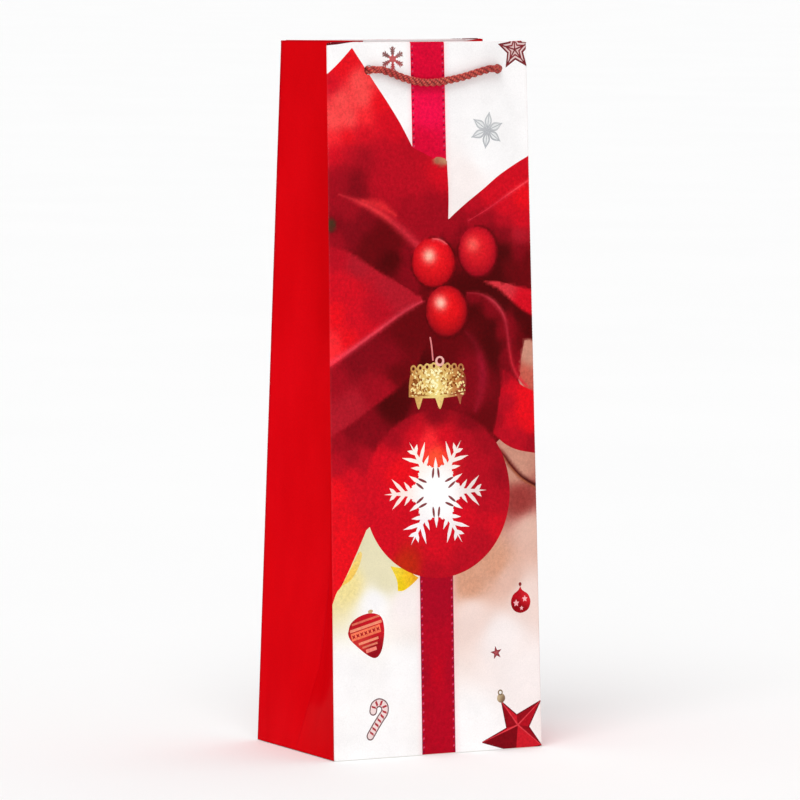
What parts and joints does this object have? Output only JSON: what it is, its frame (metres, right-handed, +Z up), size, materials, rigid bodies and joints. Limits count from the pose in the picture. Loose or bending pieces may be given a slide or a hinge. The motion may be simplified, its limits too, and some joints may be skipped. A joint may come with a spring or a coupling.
{
  "type": "wine gift bag",
  "caption": "Tall narrow paper gift bag for a bottle, printed with a festive bow and baubles, with plain folded side gussets and short cord handles.",
  "frame": {"origin": "centre of the rectangular base, on the surface the bag stands on", "axes": "+Z up to the mouth, -Y out of the front panel, +X to the right of the front panel as seen from the front"},
  "size_m": [0.12, 0.085, 0.3595],
  "materials": {
    "printed_paper": "coated white paper with a glossy film, printed in reds, gold and silver",
    "side_paper": "coated paper printed plain red, glossy film",
    "card": "plain grey-brown card",
    "base_board": "plain pale card",
    "cord": "twisted dark red cord with a thin gold thread"
  },
  "bodies": {
    "base": {"bottom_flap_front": "printed_paper", "bottom_flap_back": "printed_paper", "bottom_flap_left": "side_paper", "bottom_flap_right": "side_paper", "base_board": "base_board"},
    "front_wall": {"front_panel": "printed_paper", "front_card": "card", "front_hem": "printed_paper", "front_left_tail": "cord", "front_right_tail": "cord", "front_left_knot": "cord", "front_right_knot": "cord"},
    "back_wall": {"back_panel": "printed_paper", "back_card": "card", "back_hem": "printed_paper", "seam_tab": "printed_paper", "back_left_tail": "cord", "back_right_tail": "cord", "back_left_knot": "cord", "back_right_knot": "cord"},
    "left_front_gusset": {"left_front_gusset": "side_paper"},
    "left_front_fold": {"left_front_fold": "side_paper", "left_front_gusset_hem": "side_paper"},
    "left_rear_gusset": {"left_rear_gusset": "side_paper"},
    "left_rear_fold": {"left_rear_fold": "side_paper", "left_rear_gusset_hem": "side_paper"},
    "right_front_gusset": {"right_front_gusset": "side_paper"},
    "right_front_fold": {"right_front_fold": "side_paper", "right_front_gusset_hem": "side_paper"},
    "right_rear_gusset": {"right_rear_gusset": "side_paper"},
    "right_rear_fold": {"right_rear_fold": "side_paper", "right_rear_gusset_hem": "side_paper"},
    "front_handle": {"front_handle_loop": "cord"},
    "back_handle": {"back_handle_loop": "cord"}
  },
  "joints": [
    {"name": "mouth_front", "type": "hinge", "parent": "base", "child": "front_wall", "pos_m": [0, -0.0425, 0], "axis": [1, 0, 0], "range_deg": [0, 3.03]},
    {"name": "mouth_back", "type": "hinge", "parent": "base", "child": "back_wall", "pos_m": [0, 0.0425, 0], "axis": [-1, 0, 0], "range_deg": [0, 3.03]},
    {"name": "left_front_gusset_turn", "type": "hinge", "parent": "front_wall", "child": "left_front_gusset", "pos_m": [-0.06, -0.0425, 0], "axis": [-0.4733, -0.8806, 0.0233], "range_deg": [0, 6.39]},
    {"name": "left_front_corner_crease", "type": "hinge", "parent": "front_wall", "child": "left_front_fold", "pos_m": [-0.06, -0.0425, 0], "axis": [0, 0.0528, 0.9986], "range_deg": [0, 56.44], "deforming": ["left_front_fold", "left_front_gusset_hem"]},
    {"name": "left_rear_gusset_turn", "type": "hinge", "parent": "back_wall", "child": "left_rear_gusset", "pos_m": [-0.06, 0.0425, 0], "axis": [0.4733, -0.8806, -0.0233], "range_deg": [0, 6.39]},
    {"name": "left_rear_corner_crease", "type": "hinge", "parent": "back_wall", "child": "left_rear_fold", "pos_m": [-0.06, 0.0425, 0], "axis": [0, 0.0528, -0.9986], "range_deg": [0, 56.44], "deforming": ["left_rear_fold", "left_rear_gusset_hem"]},
    {"name": "right_front_gusset_turn", "type": "hinge", "parent": "front_wall", "child": "right_front_gusset", "pos_m": [0.06, -0.0425, 0], "axis": [-0.4733, 0.8806, -0.0233], "range_deg": [0, 6.39]},
    {"name": "right_front_corner_crease", "type": "hinge", "parent": "front_wall", "child": "right_front_fold", "pos_m": [0.06, -0.0425, 0], "axis": [0, -0.0528, -0.9986], "range_deg": [0, 56.44], "deforming": ["right_front_fold", "right_front_gusset_hem"]},
    {"name": "right_rear_gusset_turn", "type": "hinge", "parent": "back_wall", "child": "right_rear_gusset", "pos_m": [0.06, 0.0425, 0], "axis": [0.4733, 0.8806, 0.0233], "range_deg": [0, 6.39]},
    {"name": "right_rear_corner_crease", "type": "hinge", "parent": "back_wall", "child": "right_rear_fold", "pos_m": [0.06, 0.0425, 0], "axis": [0, -0.0528, 0.9986], "range_deg": [0, 56.44], "deforming": ["right_rear_fold", "right_rear_gusset_hem"]},
    {"name": "front_handle_swing", "type": "hinge", "parent": "front_wall", "child": "front_handle", "pos_m": [0.0035, -0.02654, 0.34564], "axis": [-1, 0, 0], "range_deg": [0, 170]},
    {"name": "back_handle_swing", "type": "hinge", "parent": "back_wall", "child": "back_handle", "pos_m": [0.0035, 0.02654, 0.34564], "axis": [1, 0, 0], "range_deg": [0, 170]}
  ],
  "couplings": [
    {"joint": "mouth_back", "follows": "mouth_front", "ratio": 1},
    {"joint": "left_front_gusset_turn", "follows": "mouth_front", "ratio": 2.1112},
    {"joint": "left_front_corner_crease", "follows": "mouth_front", "ratio": 18.653},
    {"joint": "left_rear_gusset_turn", "follows": "mouth_front", "ratio": 2.1112},
    {"joint": "left_rear_corner_crease", "follows": "mouth_front", "ratio": 18.653},
    {"joint": "right_front_gusset_turn", "follows": "mouth_front", "ratio": 2.1112},
    {"joint": "right_front_corner_crease", "follows": "mouth_front", "ratio": 18.653},
    {"joint": "right_rear_gusset_turn", "follows": "mouth_front", "ratio": 2.1112},
    {"joint": "right_rear_corner_crease", "follows": "mouth_front", "ratio": 18.653}
  ]
}
